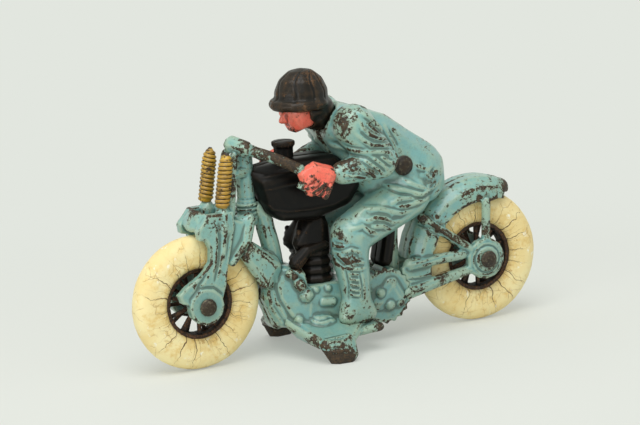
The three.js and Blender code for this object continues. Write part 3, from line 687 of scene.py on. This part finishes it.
weathered(mesh, bare=[
    (tail, 4.5, 1.2), (tail + Vector((1, 3, 6)) * MM, 4, 0.9),
    (rear_hub + Vector((1.7, 11, 30.4)) * MM, 1.7, 1.6),
    (rear_hub + Vector((-4.3, 11, 27.8)) * MM, 1.8, 1.6), (tail + Vector((13, 6, 8)) * MM, 6, 0.5),
    (tail + Vector((24, 6, 6)) * MM, 5, 0.42), (rear_hub + Vector((22, 6, -8)) * MM, 6, 0.55),
    (rear_hub + Vector((34, 6, -9)) * MM, 6, 0.5), (rear_hub + Vector((27, 10, 19)) * MM, 6, 0.55),
])
both_sides("rear_frame_casting", mesh, blue,
           ["seat_tube", "chain_stay", "seat_stay", "rear_fender"])

# ---- rider's body ----
# The crouched rider is cast with each half: back, arm and leg in one hollow shell of iron. The
# suit has deep modelled folds at shoulder, elbow, seat and knee, and laced boots.
rivet = middle("hip_rivet")
made = gathered("left_rider_torso", swell=0.2)
for node in ("left_rider_arm", "left_rider_leg"):
    copied(made, node, 0.35)
mesh = skinned(made, voxel=1.05, rounds=13, levels=1)
place, facing = spots(mesh)
arm_side, leg_side = 14, 9
place = folded(place, facing, [
    (1.1, 1.5, [(26.5, 32.2), (21.5, 27.6), (17, 22.8), (12, 18.6)]),
    (-1.1, 1.2, [(24.6, 29), (20, 24.4), (15, 20.2), (11, 17.4)]),
    (0.9, 1.2, [(27, 26.8), (26.1, 23.6), (22.9, 20), (18.3, 17.5), (11.6, 15.7)]),
    (0.9, 1.2, [(29.4, 20.9), (26.5, 18), (22.5, 15), (17.1, 14.0), (10, 13.1)]),
    (1.0, 1.1, [(23.5, 12.0), (17.5, 11.2), (12.6, 10.1)]),
    (0.9, 1.1, [(10.9, 13.4), (8.3, 10), (8, 6), (10.4, 2.4)]),
    (1.0, 1.0, [(18.6, 9.3), (14.6, 5.9), (11.2, 4.6)]),
    (1.0, 1.0, [(22.4, 8.9), (18.1, 5.2), (14.6, 1.6)]),
    (1.0, 1.0, [(26.4, 8.3), (21.4, 4.2), (17.2, 0.4)]),
    (1.0, 1.1, [(30.2, 7.4), (25.3, 2.6), (20.4, -1.3)]),
    (0.7, 0.9, [(35.9, 7.6), (30.3, 8.8), (26.2, 8.2)]),
    (-0.6, 0.8, [(32.6, 4.9), (27.9, 5.2), (23.9, 2.2)]),
    (0.6, 0.8, [(37, 1.9), (30.9, 0.6), (25.1, -1.2)]),
    (0.8, 0.9, [(38.6, 8.4), (39.4, 4.5), (38.6, 0.4)]),
], rivet, inside=arm_side)
place = folded(place, facing, [
    (0.7, 1.6, [(38, 13.2), (31, 12.6), (24, 11.4)]),
    (-0.5, 1.2, [(36.2, 16.8), (30.9, 14.2), (24.8, 12.9)]),
    (0.6, 1.5, [(9.8, 21.4), (7, 15.5), (3.5, 10.9)]),
    (-0.6, 1.2, [(6.9, 19.6), (4.6, 14.1), (2.1, 9.6)]),
    (0.9, 1.4, [(1.6, -6.2), (-4.4, -10), (-10.6, -12.6), (-15.4, -10)]),
    (-0.9, 1.2, [(-9, -3), (-14, -6), (-16.4, -3)]),
    (0.8, 1.2, [(-6.6, -0.6), (-11, -3.6), (-14, -7.2)]),
    (1.0, 1.3, [(11, -8), (2.3, -11.2), (-6.6, -14.2), (-15, -13.6), (-20, -11)]),
    (-1.0, 1.2, [(10, -10), (2, -13.2), (-7, -16), (-15, -15.4)]),
], rivet)
place = folded(place, facing, [
    (1.0, 1.3, [(12, -17), (6.9, -14.9), (1.3, -14.3), (-9.8, -15.2)]),
    (1.0, 1.3, [(10.2, -17.8), (2.9, -18.4), (-4.8, -17.6), (-12, -16.4)]),
    (1.0, 1.3, [(31, -20.2), (24, -17.1), (17.8, -17.5), (11.7, -19.6), (6, -21.4), (-2, -20.8)]),
    (0.9, 1.2, [(26, -22.6), (20, -21.4), (15.4, -22.6), (11.4, -25.2), (5, -25.4)]),
    (0.9, 1.2, [(22.5, -25.4), (16.6, -26), (12, -28.4)]),
    (0.8, 1.2, [(34, -25), (28, -24.4), (24.4, -27.4), (19, -29.6)]),
    (0.8, 1.1, [(43, -30), (40.2, -33.2), (37, -33.4)]),
    (0.8, 1.1, [(38.6, -36.2), (34.8, -34.8), (30.4, -36.6)]),
    (0.7, 1.0, [(34.4, -37.2), (32.2, -40.6), (28, -42.2)]),
    (-0.6, 1.0, [(42.2, -35.2), (40.6, -38.2), (37.3, -43.6)]),
], rivet, inside=leg_side)
boot = [
    (0.55, 0.9, [(37.6, -43.4), (34, -44.6), (27.6, -44.6)]),
    (-0.5, 0.7, [(37.4, -44), (36.2, -51.5), (35.9, -60)]),
    (-0.5, 0.7, [(31.4, -46), (30.2, -53), (30, -60)]),
]
shin, shin_lean, lace = 33.4, 0.06, 2.2
for height in (-47, -49.8, -52.5, -55.1, -57.6):
    x = shin + (height + 52.5) * shin_lean
    boot.append((0.75, 0.62, [(x + lace, height + 0.4), (x - lace, height - 0.3)]))
place = folded(place, facing, boot, rivet, inside=leg_side)
put(mesh, at_seam(place))
elbow = Vector((rivet.x + 14 * MM, 26 * MM, rivet.z + 5 * MM))
weathered(mesh, bare=[
    (elbow + Vector((9, 0, -1)) * MM, 6, 0.5), (elbow + Vector((17, -2, 0)) * MM, 6, 0.7),
    (elbow + Vector((1, 1, 2)) * MM, 6, 0.32), (elbow + Vector((6, 0, 18)) * MM, 5, 0.46),
    (elbow + Vector((2, 0, 14)) * MM, 4, 0.34), (elbow + Vector((20, -3, 22)) * MM, 5, 0.3),
    (rivet + Vector((-15, 15, -8)) * MM, 5, 0.75), (rivet + Vector((-14, 12, 6)) * MM, 6, 0.4),
    (rivet + Vector((34, 25, -40)) * MM, 6, 0.55), (rivet + Vector((39, 25, -31)) * MM, 5, 0.5),
    (rivet + Vector((-10, 12, -14)) * MM, 6, 0.35),
])
both_sides("rider_body_casting", mesh, blue,
           ["rider_torso", "rider_arm", "rider_leg"])

# ---- rider's hands ----
# Each fist is cast round its handlebar end and painted coral. The paint is lost along the knuckles,
# and painted shade darkens the grooves between the fingers.
coral = enamel("chipped_coral_enamel",
               (shade(252, 114, 94), shade(248, 106, 86), shade(244, 132, 108)),
               shade(190, 112, 90), (shade(34, 25, 18), shade(86, 66, 46)), 0.34, chip=0.665,
               grime_and_shade=(92, 48, 34))
fist = middle("left_rider_hand")
made = gathered("left_rider_hand", swell=0.1)
for finger in range(4):
    knuckle = fist + Vector((4.4 - 3.1 * finger, 3.2, 1.6 - 1.9 * finger)) * MM
    lump(made, [(knuckle, 2.0), (knuckle + Vector((1.8, -0.6, -4.6)) * MM, 1.8)])
mesh = skinned(made, voxel=0.34, rounds=3)
place, facing = spots(mesh)
place = folded(place, facing, [
    (-1.0, 0.7, [(7.8, -2.8), (4.1, -0.8), (2, 1)]),
    (-1.0, 0.7, [(5, -4.7), (1.2, -3.1), (-0.2, -1.2)]),
    (-1.0, 0.7, [(1.8, -7.1), (-1, -5), (-3.2, -3.4), (-5.2, -2.8)]),
], fist)
put(mesh, place)
weathered(mesh, bare=[
    (fist + Vector((3, 5, 1)) * MM, 4, 0.42), (fist + Vector((-1, 5, -5)) * MM, 4, 0.5),
    (fist + Vector((7, 3, -1)) * MM, 3, 0.5), (fist + Vector((-10, 3, 3)) * MM, 3, 0.4),
])
both_sides("rider_fist", mesh, coral, ["rider_hand"])

# ---- tank, filler cap, engine and oil tank block ----
# These parts of each half are painted black: a long tank with raised panel lines, a round
# filler neck, a finned cylinder with its exhaust stub, and under the seat a black block, named oil
# tank, that is painted shade filling the dark gap between the leg and the seat tube.
black = enamel("chipped_black_enamel", (shade(11, 11, 10), shade(14, 13, 12), shade(19, 17, 14)),
               shade(40, 32, 24), (shade(46, 34, 24), shade(78, 60, 44)), 0.3, chip=0.725, wear=0.8,
               coat=0.03, shine=0.16, grime_and_shade=(9, 8, 7))
tank = middle("left_fuel_tank")
mesh = skinned(gathered("left_fuel_tank", swell=0.15), voxel=0.8, rounds=5, levels=1)
place, facing = spots(mesh)
place = folded(place, facing, [
    (0.5, 0.7, [(24, -2), (19, -7), (12, -8.6), (0, -9), (-12, -8.6), (-20, -6)]),
    (0.4, 0.7, [(24, 3), (12, 4.6), (0, 5), (-12, 4.6)]),
    (0.35, 0.6, [(24.6, 9), (16, 10.2), (6, 10.6)]),
], tank)
put(mesh, at_seam(place))
weathered(mesh, bare=[(tank + Vector((26, 4, 10)) * MM, 4, 0.35)])
both_sides("fuel_tank_shell", mesh, black, ["fuel_tank"])

mesh = skinned(gathered("left_filler_cap", swell=0.05), voxel=0.36, rounds=4)
put(mesh, at_seam(spots(mesh)[0]))
weathered(mesh, bare=[(middle("left_filler_cap") + Vector((0, 4, 4)) * MM, 4, 0.3)])
both_sides("filler_neck", mesh, black, ["filler_cap"])

# The oil tank node is a black block of painted shade, skinned together with the engine.
made = gathered("left_engine", "left_oil_tank", swell=0.1)
barrel = middle("left_engine")
for k in range(4):
    lump(made, [(beside(barrel, 8.6 - 0.4 * k, 6, 2.4 + 2.4 * k), 1.5)])
mesh = skinned(made, voxel=0.46, rounds=3)
put(mesh, at_seam(spots(mesh)[0]))
weathered(mesh, bare=[(barrel + Vector((7, 3, 10)) * MM, 5, 0.4)])
both_sides("engine_and_shade_block", mesh, black, ["engine", "oil_tank"])

mesh = skinned(gathered("left_exhaust_elbow", swell=0.1), voxel=0.42, rounds=4)
bend = middle("left_exhaust_elbow")
weathered(mesh, bare=[(bend + Vector((3, 2, -3)) * MM, 5, 1.0),
                      (bend + Vector((0, 4, 1)) * MM, 4, 0.7)])
piece("left_exhaust_stub", mesh, black, "chassis", ["left_exhaust_elbow"])

# ---- rider's head ----
# A separate casting whose neck turns in the collar: a black domed crash helmet with a rolled
# brim and leather-like flaps, and a plain coral face.
helmet_low, helmet_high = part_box("rider_helmet")
helmet_black = enamel("rubbed_helmet_enamel",
                      (shade(22, 20, 16), shade(28, 24, 19), shade(56, 46, 34)),
                      shade(70, 54, 38), (shade(60, 43, 29), shade(104, 78, 54)), 0.26, chip=0.69,
                      wear=1.1, coat=0.04, shine=0.22, grime_and_shade=(12, 10, 8))
mesh = skinned(gathered("rider_helmet"), voxel=0.75, rounds=5, levels=1)
place, facing = spots(mesh)
crown = Vector(((helmet_low.x + helmet_high.x) / 2 - 1 * MM, 0, helmet_high.z))
ahead, aside = (place[:, 0] - crown.x) / MM, place[:, 1] / MM
below = (crown.z - place[:, 2]) / MM
bearing = np.arctan2(aside, ahead)
dome = np.clip((15.5 - below) / 2, 0, 1) * np.clip(below / 3, 0, 1)
gores = np.abs(np.sin(bearing * 5 + 0.35 * np.sin(below * 0.4)))
seams = 0.12 * gores - 0.34 * np.exp(-(gores / 0.26) ** 2)
place += facing * (seams * dome * MM)[:, None]
brim = np.exp(-((below - 20) / 2.2) ** 2)
dents = 0.14 * np.sin(bearing * 9)
place += facing * ((0.45 + dents) * brim * MM)[:, None]
put(mesh, place)
weathered(mesh, bare=[(crown + Vector((1, 5, -2)) * MM, 7, 0.42),
                      (crown + Vector((14, 4, -17)) * MM, 5, 0.4)])
piece("rider_helmet_shell", mesh, helmet_black, "rider_head", ["rider_helmet"])

face_low, face_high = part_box("rider_face")
mesh = skinned(gathered("rider_face"), voxel=0.45, rounds=6)
place, facing = spots(mesh)
for x, y, z, radius, height in (
        (-3.4, 3.8, -5.6, 1.7, -0.8), (-3.4, 3.9, -5.6, 0.9, 0.55), (-3.2, 4, -3.4, 1.6, 0.5),
        (-4, 0, -12, 1.4, -0.55), (-4.4, 1.6, -12, 1.1, -0.5),
        (-3.6, 0, -10.9, 1.1, 0.4), (-4, 0, -13.2, 1.1, 0.4)):
    for side in sorted({y, -y}):
        spot = beside(face_high, x, side, z)
        place = place + facing * (near(place, spot, radius) * height * MM)[:, None]
put(mesh, place)
weathered(mesh, bare=[((face_high.x - 6 * MM, 2 * MM, face_low.z + 1 * MM), 3, 0.7)])
piece("rider_face_mask", mesh, coral, "rider_head", ["rider_face"])

# ---- floor and light ----
# The toy stands on a wide pale sheet under two large soft lamps and an even pale sky. Far from
# the toy the sheet fades into the tone of the sky.
sky_tone = shade(226, 230, 223)
sheet_reach = 9


def seen_rays():
    """1 for the rays that show the background itself or its reflection, and 0 for light."""
    return Wire.add("LightPath", output=0).top(Wire.add("LightPath", output=3))


def paper():
    """A pale sheet that takes the toy's shadow near it and fades into the sky's tone beyond."""
    material = new_material("pale_paper")
    place = Wire.add("TexCoord", output=3)
    distance = Wire.add("VectorMath", {"operation": "LENGTH"}, {0: place}, 1)
    tone = Wire.add("Emission", {}, {"Color": sky_tone, "Strength": 1.0})
    sheet = Wire.add("BsdfPrincipled", {}, {
        "Base Color": shade(219, 222, 216), "Roughness": 0.95, "Specular IOR Level": 0.1})
    nearest = 0.38
    share = seen_rays() * (distance.rise(0.13, 0.36) * (1 - nearest) + nearest)
    both = Wire.add("MixShader", {}, {0: share, 1: sheet, 2: tone})
    Wire.add("OutputMaterial", {}, {"Surface": both}, None)
    return material


made = bmesh.new()
bmesh.ops.create_grid(made, x_segments=1, y_segments=1, size=sheet_reach)
mesh = bpy.data.meshes.new("floor_sheet")
made.to_mesh(mesh)
made.free()
mesh.materials.append(paper())
floor = bpy.data.objects.new("floor_sheet", mesh)
bpy.context.scene.collection.objects.link(floor)


def lamp(name, spot, aim, size, power):
    """A round lamp of that width in metres and power in watts."""
    data = bpy.data.lights.new(name, "AREA")
    data.shape = "DISK"
    data.size = size
    data.energy = power
    holder = bpy.data.objects.new(name, data)
    bpy.context.scene.collection.objects.link(holder)
    holder.location = spot
    holder.rotation_euler = (Vector(aim) - Vector(spot)).to_track_quat("-Z", "Y").to_euler()


heart = Vector(cad_box[0]) * 0.5 + Vector(cad_box[1]) * 0.5
lamp("key_lamp", (0.5, 0.7, 1.8), heart, 1.7, 25)
lamp("fill_lamp", (1.5, 0.9, 0.35), heart, 1.0, 6)
world = bpy.data.worlds.new("even_sky")
bpy.context.scene.world = world
world.use_nodes = True
Wire.tree = world.node_tree
world.node_tree.nodes.clear()
daylight = Wire.add("Background", {}, {"Color": (0.98, 0.98, 0.95, 1), "Strength": 0.62})
plain = Wire.add("Background", {}, {"Color": sky_tone, "Strength": 1.0})
sky = Wire.add("MixShader", {}, {0: seen_rays(), 1: daylight, 2: plain})
Wire.add("OutputWorld", {}, {"Surface": sky}, None)

# ---- camera ----
# A long lens looks down a little on the toy's left side from ahead of it, rolled a few degrees
# about its own axis and aimed slightly off the toy's middle.
distance, look_height = 1.885, 0.03255
back = Vector((0.43538, 0.86945, 0.23345)).normalized()
roll = math.radians(-3.083)
aim_aside, aim_up = 0.004483, 0.016691
camera = bpy.data.objects.new("camera", bpy.data.cameras.new("camera"))
bpy.context.scene.collection.objects.link(camera)
bpy.context.scene.camera = camera
camera.data.lens = 219.1
camera.data.sensor_width = 36
right = Vector((0, 0, 1)).cross(back).normalized()
up = back.cross(right)
level = right * math.cos(roll) + up * math.sin(roll)
upright = up * math.cos(roll) - right * math.sin(roll)
aim = (upright * aim_up - level * aim_aside - back).normalized()
level = (level - aim * level.dot(aim)).normalized()
upright = level.cross(aim)
eye = back * distance + Vector((0, 0, look_height))
turned = Matrix((level, upright, -aim)).transposed().to_4x4()
camera.matrix_world = Matrix.Translation(eye) @ turned
bpy.context.scene.view_settings.view_transform = "Standard"
